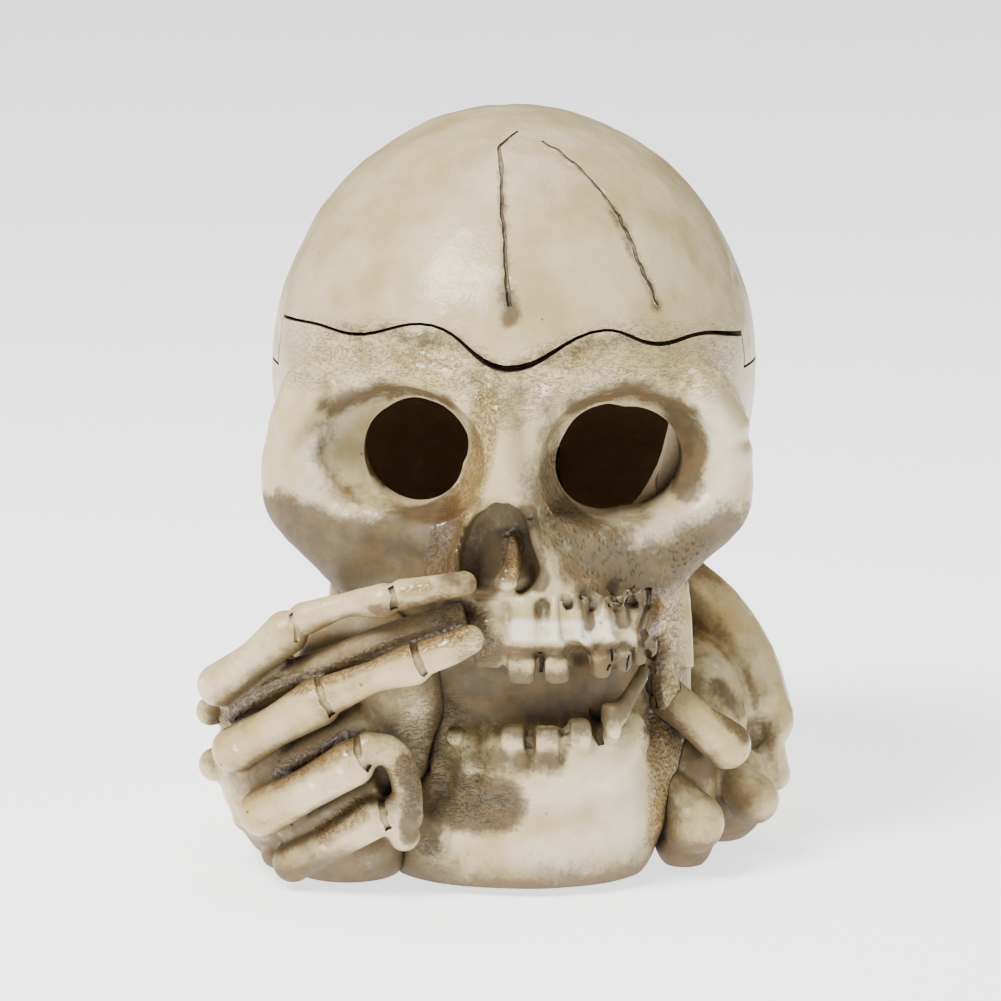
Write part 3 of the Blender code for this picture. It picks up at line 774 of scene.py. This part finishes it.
LEFT_BONES = (
    ((29.5, 6, 44.5, 6), (35.5, 4, 39.5, 6.1), (41, 1, 31, 6.4), (44.1, -3, 22, 6.3)),
    ((28.2, -28, 31, 3.6), (32.5, -30, 28, 3.5), (38.3, -28.5, 22.9, 4.3)),
    ((33, -14, 18, 4.6), (38.6, -18, 15, 3.6), (43.2, -18.5, 11, 4.5)),
    ((28.4, -29, 14.5, 4.2), (32.6, -31.5, 9.8, 5.5)),
    ((44.5, -5, 18.5, 4), (46.6, -5, 12.4, 3.2)),
)
LEFT_PALM = (
    ((30, -2, 20), (13.5, 22, 18)),
    ((28, -19, 15), (9, 11, 13)),
    ((37, -6, 11), (9.5, 12, 11)),
    ((31, -27, 6.5), (5.4, 6, 6.5)),
)


def hand(bones, knobs, webs, palm, head_shape):
    """One hand fused from its bones and palm, flat below, with the head's shape cut out of it."""
    lumps = [part for knots in bones for part in bone(knots)]
    lumps += [ball((x, y, z), (radius, radius, radius)) for x, y, z, radius in knobs]
    lumps += [limb(web) for web in webs]
    lumps += [ball(centre, radii) for centre, radii in palm]
    return carved(fused(lumps, 0.5, passes=2), [below_foot(), head_shape])


# The head's skin, swollen by the thickness of the glue, cuts each hand to fit it.
glue_line = fused([twin(skull)], 0.8)
glue = glue_line.modifiers.new("Glue", "DISPLACE")
glue.strength = 0.15 * MM
glue.mid_level = 0
apply_modifiers(glue_line)
right_hand = hand(RIGHT_BONES, RIGHT_KNOBS, RIGHT_WEBS, RIGHT_PALM, twin(glue_line))
left_hand = hand(LEFT_BONES, (), (), LEFT_PALM, glue_line)
print("hands:", len(right_hand.data.vertices), len(left_hand.data.vertices), "points")

# %% [markdown]
# ## Joints between the finger bones
# A dark groove across each finger parts one bone from the next. It is cut after the hands are fused,
# since the Remesh would close it.

# %% Cut the finger joints
# The joints are cut across the fingers, and the left hand's long bone ends in a dimple.
RIGHT_JOINTS = (
    ((-35.6, 50), (-34.5, 47.4), (-34.3, 45)),
    ((-18.3, 55.6), (-17.6, 53.6), (-17.5, 51.6)),
    ((-30.9, 39.8), (-29.6, 36.2), (-28, 33.2)),
    ((-14.3, 46.2), (-13.2, 43.6), (-12, 41.2)),
    ((-24.2, 30), (-23.4, 26.6), (-21.6, 24.4)),
    ((-20.1, 18.4), (-19.4, 15.6), (-18.7, 13.2)),
)
engraved(right_hand, [(path, 0.7) for path in RIGHT_JOINTS], wander=0.06, step=1, depth=-0.3)
dimple = Clay(left_hand)
dimple.stroke(((46.4, -6.5, 23), (44.6, -8.8, 21)), 4.4, -2.6, front=False).write()
print("jointed hands:", len(right_hand.data.vertices), len(left_hand.data.vertices), "points")

# %% [markdown]
# ## Strokes of the painter
# The painter's brown wash mixed with painted shade, the golden glaze, and pale paint mixed with painted
# highlights are laid on as masks: numbers from 0 to 1 that each point carries. A material then reads a
# mask and breaks up its edge with noise.

# %% Paint the masks
# Each stroke: a path seen from the front, its reach and its strength.
# Darker strokes, mostly painted shade: in the mouth, between the teeth and roots and in the jaw's crack, with
# brown stain mixed in under the cheeks and on the chin.
WASH_AND_SHADE = (
    (((-38, 60), (-30, 56.5), (-20, 57), (-12, 61)), 9, 1.0),
    (((-12, 70), (-11, 63)), 4, 0.6),
    (((-28, 54), (-20, 53), (-9, 53)), 5, 1.0),
    (((9.5, 72), (11, 66), (15, 60), (22, 55), (30, 56), (38, 60)), 8, 0.72),
    (((8, 84), (8.5, 74)), 3.5, 0.4),
    (((-14, 35), (0, 35), (12, 35), (22, 37.5)), 8, 1.0),
    (((-16, 27), (-12, 21), (-7, 17), (-1, 17)), 7, 1.0),
    (((-6, 25), (3, 25), (9, 25)), 3.5, 0.6),
    (((-9, 51), (-6, 47), (-3, 44)), 5, 0.9),
    (((0, 43.9), (13, 43.6), (21, 44)), 1.6, 0.7),
    (((14, 53), (24, 52)), 3.4, 0.62),
    (((14.6, 51), (15, 48)), 1.4, 0.8),
    (((19.8, 51.5), (20.6, 48)), 1.8, 0.9),
    (((24.8, 52), (24.6, 44), (24.9, 38), (26, 28)), 2.4, 1.0),
    # Painted shadow on the walls of the eye sockets, under their rims.
    (((29, 82), (32, 76), (31, 69)), 4, 0.8),
    (((-30, 82.5), (-21, 86), (-10, 83.5)), 3.4, 0.6),
    (((-31, 80), (-32.5, 74), (-28, 67.5), (-18, 64.6)), 3.2, 0.35),
    (((12, 83.5), (22, 86), (31, 82)), 3.4, 0.62),
    (((10, 70), (15, 64.6), (24, 63.6)), 2.6, 0.35),
    (((-14, 28), (-12.6, 20), (-13, 9)), 3.4, 1.0),
    # Painted shade inside the nose.
    (((-0.6, 60), (-3, 55)), 4, 0.9),
    (((4, 66), (5, 60), (6, 56)), 3, 1.0),
    # Brown stain along the cap's cracks, and darker along the seam.
    (((0.8, 103), (1.2, 99.4)), 2.6, 0.62),
    (((-1, 122), (-0.4, 115), (0.4, 105)), 1.4, 0.4),
    (((18, 115.6), (22.4, 107.4), (26, 99.6)), 1.4, 0.42),
    (((-30, 95), (-20, 96), (-8, 95), (0.4, 90), (10, 94), (22, 95)), 2.2, 0.35),
)
# Painted shade in the gaps between the bones and knobs of the hands.
HAND_WASH_AND_SHADE = (
    (((30, 26), (31, 21), (36, 17.5)), 2.8, 0.7),
    (((36.5, 31), (41.5, 25)), 2.2, 0.6),
    (((-9, 57.5), (-4.6, 56)), 2.6, 0.5),
    (((-21, 51.6), (-10, 53)), 1.6, 0.5),
    (((-16, 25), (-14.6, 19), (-15.5, 12)), 2.6, 0.7),
)
GOLD = (
    (((27.6, 51), (28, 42), (28.4, 33)), 4, 0.75),
    (((-2.6, 85), (-3.4, 78), (-5.6, 70), (-9.6, 62), (-11, 55)), 3.6, 1.0),
    (((1.8, 61.5), (1.6, 57)), 2.6, 0.9),
    (((27, 27), (28.4, 18), (27.4, 8)), 4.6, 0.85),
    (((-6, 50), (-2, 46)), 4, 0.7),
    (((-12.5, 8), (-9, 3.5)), 4, 0.5),
    (((-24, 92), (-14, 92.6)), 6, 0.5),
    (((-4, 90), (2, 84)), 6, 0.5),
    (((9, 92), (15, 94)), 4, 0.45),
)
HAND_GOLD = (
    (((-48, 29.4), (-38, 36.6), (-28.4, 40), (-18.4, 44.8), (-6, 48.6)), 2, 0.9),
    (((-38, 20.5), (-31, 25), (-26, 28.5)), 2.4, 0.8),
    (((-30, 11.5), (-24, 16)), 2.8, 0.85),
    (((-29, 37), (-22, 40.5)), 2, 0.5),
    (((-15.6, 55), (-12, 55.8)), 1.8, 0.7),
)
ROUGH = (
    (((-34, 91), (-20, 93), (-9, 91), (0, 86), (10, 91), (22, 93), (36, 90)), 6.5, 1.0),
    (((-12, 30), (-14, 22), (-4, 18)), 8, 0.8),
    (((-9, 52), (-4, 46)), 5, 1.0),
)
PITS = ((((9.5, 72), (11.5, 64), (17, 57.5), (25, 54), (31, 57)), 6, 1.0),)
# Pale paint mixed with painted highlights, on the gum over the teeth, the rims of the eye sockets and the
# chin.
PALE_AND_HIGHLIGHTS = (
    (((3, 47.6), (10, 47.4), (18, 47)), 2.8, 0.9),
    (((-25, 84), (-33, 74), (-33, 66)), 6, 0.5),
    (((34, 84), (38, 74), (36, 66), (24, 61)), 6, 0.5),
    (((6, 18), (18, 20), (20, 10), (4, 8)), 8, 0.5),
)


def painted(obj, name, strokes):
    """Stores a mask that is strongest along the strokes (path, reach, strength)."""
    body = Clay(obj)
    mask = np.zeros(len(body.points), np.float32)
    for path, reach, strength in strokes:
        mask = np.maximum(mask, strength * (1 - body.from_path(path, reach, True) ** 2))
    obj.data.attributes.new(name, "FLOAT", "POINT").data.foreach_set("value", mask)


def mark_inside(obj):
    """A mask of the walls that face the water inside, which nobody paints."""
    centre, radii = DOME
    out = (((Clay(obj).points - np.array(centre)) / np.array(radii)) ** 2).sum(axis=1)
    within = (out < 1.03).astype(np.float32)
    obj.data.attributes.new("inside", "FLOAT", "POINT").data.foreach_set("value", within)


HEAD_MASKS = {"wash_and_shade": WASH_AND_SHADE, "gold": GOLD, "rough": ROUGH, "pits": PITS, "pale_and_highlight": PALE_AND_HIGHLIGHTS}
HAND_MASKS = HEAD_MASKS | {"wash_and_shade": HAND_WASH_AND_SHADE, "gold": HAND_GOLD}
MOST_TRIANGLES = 190000
for name, piece, masks in (
    ("skull", skull, HEAD_MASKS),
    ("cranium", cap, HEAD_MASKS),
    ("right_hand_bones", right_hand, HAND_MASKS),
    ("left_hand_bones", left_hand, HAND_MASKS),
):
    piece.name = name
    thinned(piece, MOST_TRIANGLES)
    for mask, strokes in masks.items():
        painted(piece, mask, strokes)
    mark_inside(piece)
    print(name, len(piece.data.polygons), "faces")

# %% [markdown]
# ## Materials as arithmetic
# A small class stands for one wire in a material, so that adding or multiplying two wires adds the
# Math node for it. A second class is the material, and makes every other node.

# %% Wires and paints


class Wire:
    """A number that flows through a material."""

    def __init__(self, paint, socket):
        self.paint = paint
        self.socket = socket

    def __add__(self, other):
        return self.paint.maths("ADD", self, other)

    def __sub__(self, other):
        return self.paint.maths("SUBTRACT", self, other)

    def __rsub__(self, other):
        return self.paint.maths("SUBTRACT", other, self)

    def __mul__(self, other):
        return self.paint.maths("MULTIPLY", self, other)

    __radd__ = __add__
    __rmul__ = __mul__


class Paint:
    """A material with a Principled shader, and the nodes that feed it."""

    def __init__(self, name, **settings):
        self.material = bpy.data.materials.new(name)
        self.material.use_nodes = True
        self.tree = self.material.node_tree
        self.shader = self.tree.nodes["Principled BSDF"]
        for title, value in settings.items():
            self.feed(title.replace("_", " "), value)

    def node(self, kind, inputs=None, **settings):
        made = self.tree.nodes.new("ShaderNode" + kind)
        for key, value in settings.items():
            setattr(made, key, value)
        for title, value in (inputs or {}).items():
            self.connect(made.inputs[title], value)
        return made

    def connect(self, socket, value):
        if isinstance(value, Wire):
            self.tree.links.new(value.socket, socket)
        else:
            socket.default_value = value

    def feed(self, title, value):
        self.connect(self.shader.inputs[title], value)

    def maths(self, operation, *values):
        return Wire(self, self.node("Math", dict(enumerate(values)), operation=operation).outputs[0])

    def place(self, stretch=(1, 1, 1)):
        """Object coordinates in millimetres."""
        where = Wire(self, self.node("TexCoord").outputs["Object"])
        scale = [1000 * share for share in stretch]
        made = self.node("VectorMath", {0: where, 1: scale}, operation="MULTIPLY")
        return Wire(self, made.outputs["Vector"])

    def noise(self, size, detail=4, stretch=(1, 1, 1), distortion=0.0, roughness=0.55):
        """Cloudy noise with lumps of about the given size in millimetres."""
        inputs = {
            "Vector": self.place(stretch),
            "Scale": 1 / size,
            "Detail": detail,
            "Distortion": distortion,
            "Roughness": roughness,
        }
        return Wire(self, self.node("TexNoise", inputs).outputs["Fac"])

    def cells(self, size, stretch=(1, 1, 1)):
        """0 at the middle of each cell of a given size, and rising outwards."""
        inputs = {"Vector": self.place(stretch), "Scale": 1 / size}
        return Wire(self, self.node("TexVoronoi", inputs).outputs["Distance"])

    def ramp(self, value, start, end, low=0.0, high=1.0):
        """A smooth step from low to high as the value goes from start to end."""
        inputs = {"Value": value, "From Min": start, "From Max": end, "To Min": low, "To Max": high}
        return Wire(self, self.node("MapRange", inputs, interpolation_type="SMOOTHSTEP").outputs["Result"])

    def mix(self, factor, under, over):
        """One colour laid over another, as thickly as the factor says."""
        made = self.node("Mix", data_type="RGBA")
        for index, value in ((0, factor), (6, under), (7, over)):
            self.connect(made.inputs[index], value)
        return Wire(self, made.outputs[2])

    def mask(self, name):
        return Wire(self, self.node("Attribute", attribute_name=name).outputs["Fac"])

    def cavity(self, reach):
        """Near 1 deep in a crevice narrower than the reach, and 0 in the open."""
        open_sky = self.node("AmbientOcclusion", {"Distance": reach * MM}, samples=6)
        return 1 - Wire(self, open_sky.outputs["AO"])

    def edge(self):
        """Above 0.5 on ridges and below it in grooves."""
        return Wire(self, self.node("NewGeometry").outputs["Pointiness"])

    def bump(self, height, depth, under=None):
        """The height, from 0 to 1, stands up to the depth in millimetres."""
        inputs = {"Height": height, "Distance": depth * MM, "Strength": 1.0}
        if under is not None:
            inputs["Normal"] = under
        return Wire(self, self.node("Bump", inputs).outputs["Normal"])


def colour(red, green, blue):
    """A screen colour, from 0 to 255, as the light that Blender counts in."""
    shares = (red / 255, green / 255, blue / 255)
    return tuple(c / 12.92 if c < 0.04045 else ((c + 0.055) / 1.055) ** 2.4 for c in shares) + (1.0,)


# %% [markdown]
# ## Old bone
# The resin is ivory with faint yellow clouds. A brown wash mixed with painted shade darkens the hollows and
# the undersides of the cheeks, painted shade gets nearly black in cracks, and the wash is wiped off the
# ridges. Round the nose a golden glaze is still glossy.

# %% Paint the castings


def bone_paint(name, light, clouds, extra_wash_and_shade):
    """Two shades of ivory, and how much extra brown staining and painted shade lies on them."""
    paint = Paint(name, Specular_IOR_Level=0.45)
    broad, fine, grain = paint.noise(14), paint.noise(3.2, detail=5), paint.noise(0.7, detail=3)
    wash_and_shade, gold, pale_and_highlight = paint.mask("wash_and_shade"), paint.mask("gold"), paint.mask("pale_and_highlight")
    shade = paint.mix(paint.ramp(broad, 0.3, 0.7), light, clouds)
    stain = paint.ramp(paint.noise(22, detail=3, distortion=0.6), 0.5, 0.78, high=0.6)
    shade = paint.mix(stain, shade, colour(184, 155, 102))
    # Pale paint mixed with painted highlights, along the pale strokes.
    shade = paint.mix(paint.ramp(pale_and_highlight + 0.35 * fine, 0.45, 0.95, high=0.75), shade, colour(238, 232, 214))
    # The golden glaze, broken up into grains.
    glaze = paint.ramp(gold + 0.5 * (fine - 0.5) + 0.35 * (grain - 0.5), 0.25, 0.75)
    amber = paint.mix(paint.ramp(grain, 0.4, 0.62), colour(104, 78, 36), colour(178, 148, 88))
    shade = paint.mix(glaze * 0.85, shade, amber)
    # Brown wash mixed with painted shade: darker where ambient occlusion finds hollows, and along the
    # strokes.
    wide, narrow = paint.cavity(11), paint.cavity(2.4)
    hollow_wash_and_shade = paint.ramp(wide + extra_wash_and_shade + 0.7 * (fine - 0.5) + 0.25 * (grain - 0.5), 0.2, 0.56)
    brushed_wash_and_shade = paint.ramp(wash_and_shade + 0.9 * (fine - 0.5) + 0.35 * (grain - 0.5), 0.1, 0.62)
    wash_and_painted_shade = paint.maths("MAXIMUM", hollow_wash_and_shade, brushed_wash_and_shade)
    # The colour of both the brown wash and the painted shade.
    umber = paint.mix(paint.ramp(fine, 0.35, 0.65), colour(56, 40, 20), colour(86, 63, 32))
    shade = paint.mix(wash_and_painted_shade * 0.9, shade, umber)
    # Painted shade, nearly black, deep in narrow crevices and cracks.
    crack = paint.ramp(narrow + 0.25 * (grain - 0.5), 0.26, 0.62)
    shade = paint.mix(crack * 0.95, shade, colour(28, 19, 10))
    # Ridges are wiped clean, and pinholes stay dark.
    wiped = paint.ramp(paint.edge() - 0.2 * wash_and_painted_shade, 0.53, 0.6, high=0.45)
    shade = paint.mix(wiped, shade, colour(240, 234, 216))
    pinhole = paint.ramp(paint.cells(5.5), 0.05, 0.075, 1, 0)
    shade = paint.mix(pinhole * paint.ramp(broad, 0.5, 0.6) * 0.8, shade, colour(60, 46, 34))
    # The walls inside are bare resin.
    paint.feed("Base Color", paint.mix(paint.mask("inside"), shade, colour(196, 172, 138)))
    gloss = paint.ramp(wash_and_painted_shade, 0, 1, 0.3, 0.6) + 0.16 * (grain - 0.5)
    paint.feed("Roughness", gloss - glaze * 0.2)
    paint.feed("Coat Weight", glaze * paint.ramp(grain, 0.45, 0.6) * 0.8)
    paint.feed("Coat Roughness", 0.12)
    # Relief: faint grain all over, scratches on the brow, chiselled pits below the right eye.
    skin = paint.bump(fine + 0.4 * grain, 0.16)
    scratches = paint.noise(1.6, detail=6, stretch=(1, 0.4, 2.2), distortion=1.4, roughness=0.65)
    scored = paint.ramp(scratches, 0.5, 0.58) * paint.mask("rough")
    skin = paint.bump(scored, 0.22, skin)
    pocks = paint.ramp(paint.cells(1.15, stretch=(1.2, 1, 0.8)), 0.1, 0.5) * paint.mask("pits")
    skin = paint.bump(pocks + glaze * grain * 1.4, 0.32, skin)
    paint.feed("Normal", skin)
    return paint.material


skull_paint = bone_paint("painted skull", colour(204, 190, 148), colour(178, 158, 110), 0.06)
cap_paint = bone_paint("painted cranium", colour(200, 187, 146), colour(174, 154, 108), 0.03)
hand_paint = bone_paint("painted hands", colour(206, 190, 148), colour(180, 154, 102), 0.2)
for piece, finish in (
    (skull, skull_paint),
    (cap, cap_paint),
    (right_hand, hand_paint),
    (left_hand, hand_paint),
):
    piece.data.materials.clear()
    piece.data.materials.append(finish)
    for face in piece.data.polygons:
        face.material_index = 0
    print(piece.name, "is finished with", finish.name)

# %% [markdown]
# ## Steel, plastic, rubber and stone
# The hardware is plain stock: brushed stainless steel for the hinge, moulded plastic for the air
# fittings, rubber for the pad and the seals, and a sintered stone full of pores.

# %% Paint the hardware


def steel_paint():
    paint = Paint("brushed stainless", Metallic=1.0)
    lines = paint.noise(0.5, detail=3, stretch=(0.08, 1, 1))
    # Tarnish in patches, with painted shade in the crevices.
    tarnish_and_shade = paint.ramp(paint.noise(6), 0.5, 0.75) + paint.cavity(1.5)
    paint.feed("Base Color", paint.mix(tarnish_and_shade * 0.6, colour(196, 197, 196), colour(128, 116, 98)))
    paint.feed("Roughness", paint.ramp(lines, 0.3, 0.7, 0.24, 0.42) + tarnish_and_shade * 0.2)
    paint.feed("Normal", paint.bump(lines, 0.02))
    return paint.material


def plastic_paint():
    paint = Paint("moulded plastic", Specular_IOR_Level=0.5)
    grain = paint.noise(0.35, detail=2)
    # A dull film in patches, with painted shade in the recesses.
    film_and_shade = paint.ramp(paint.noise(5), 0.5, 0.8) * 0.5 + paint.cavity(1.5) * 0.7
    paint.feed("Base Color", paint.mix(film_and_shade, colour(38, 40, 42), colour(84, 80, 62)))
    paint.feed("Roughness", paint.ramp(grain, 0.3, 0.7, 0.36, 0.5) + film_and_shade * 0.2)
    paint.feed("Normal", paint.bump(grain, 0.02))
    return paint.material


def rubber_paint():
    paint = Paint("black rubber", Specular_IOR_Level=0.3)
    grain, dust = paint.noise(0.5, detail=4), paint.ramp(paint.noise(4, detail=6), 0.48, 0.75)
    paint.feed("Base Color", paint.mix(dust * 0.4, colour(30, 30, 30), colour(92, 88, 78)))
    paint.feed("Roughness", paint.ramp(grain, 0.3, 0.7, 0.66, 0.84))
    paint.feed("Normal", paint.bump(grain, 0.05))
    return paint.material


def stone_paint():
    paint = Paint("sintered air stone", Specular_IOR_Level=0.2)
    pores, grain = paint.cells(0.55), paint.noise(0.3, detail=3)
    # Painted shade deep in each pore.
    depth = paint.ramp(pores, 0.15, 0.5)
    paint.feed("Base Color", paint.mix(depth, colour(52, 62, 74), colour(116, 130, 146)))
    paint.feed("Roughness", paint.ramp(grain, 0.3, 0.7, 0.8, 0.95))
    paint.feed("Normal", paint.bump(pores + 0.3 * grain, 0.18))
    return paint.material


def floor_paint():
    paint = Paint("white sweep", Emission_Color=(1, 1, 1, 1), Emission_Strength=1.7)
    clouds = paint.noise(60, detail=2)
    paint.feed("Base Color", paint.mix(clouds, colour(246, 246, 246), colour(250, 250, 250)))
    paint.feed("Roughness", paint.ramp(paint.noise(2), 0.3, 0.7, 0.75, 0.85))
    return paint.material


HARDWARE = (
    (steel_paint(), ("hinge_bracket", "cap_hinge_arm", "hinge_pin")),
    (plastic_paint(), ("air_inlet", "inlet_nut", "stone_nipple", "stone_clip")),
    (rubber_paint(), ("base_pad", "inlet_seal", "air_line")),
    (stone_paint(), ("air_stone",)),
)
finishes = {node: finish for finish, nodes in HARDWARE for node in nodes}
for side in ("left", "right"):
    for screw in ("bracket_screw", "arm_screw", "clip_screw"):
        finishes[f"{screw}_{side}"] = finishes["hinge_pin"]
    finishes[f"pin_cap_{side}"] = finishes["air_inlet"]
for node, finish in finishes.items():
    mesh = bpy.data.objects[node].data
    mesh.materials.clear()
    mesh.materials.append(finish)
print(len(finishes), "pieces of hardware are finished")
floor.data.materials.append(floor_paint())

# %% [markdown]
# ## Put it together
# Each casting rides on the body that it belongs to and takes the place of its plain solid.

# %% Ride, replace and finish
for piece, body, node in (
    (skull, "skull", "skull_casting"),
    (cap, "cap", "cranium_cap"),
    (right_hand, "skull", "right_hand"),
    (left_hand, "skull", "left_hand"),
):
    only(piece)
    bpy.ops.object.shade_smooth_by_angle(angle=math.radians(50))
    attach(piece, body)
    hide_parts(node)
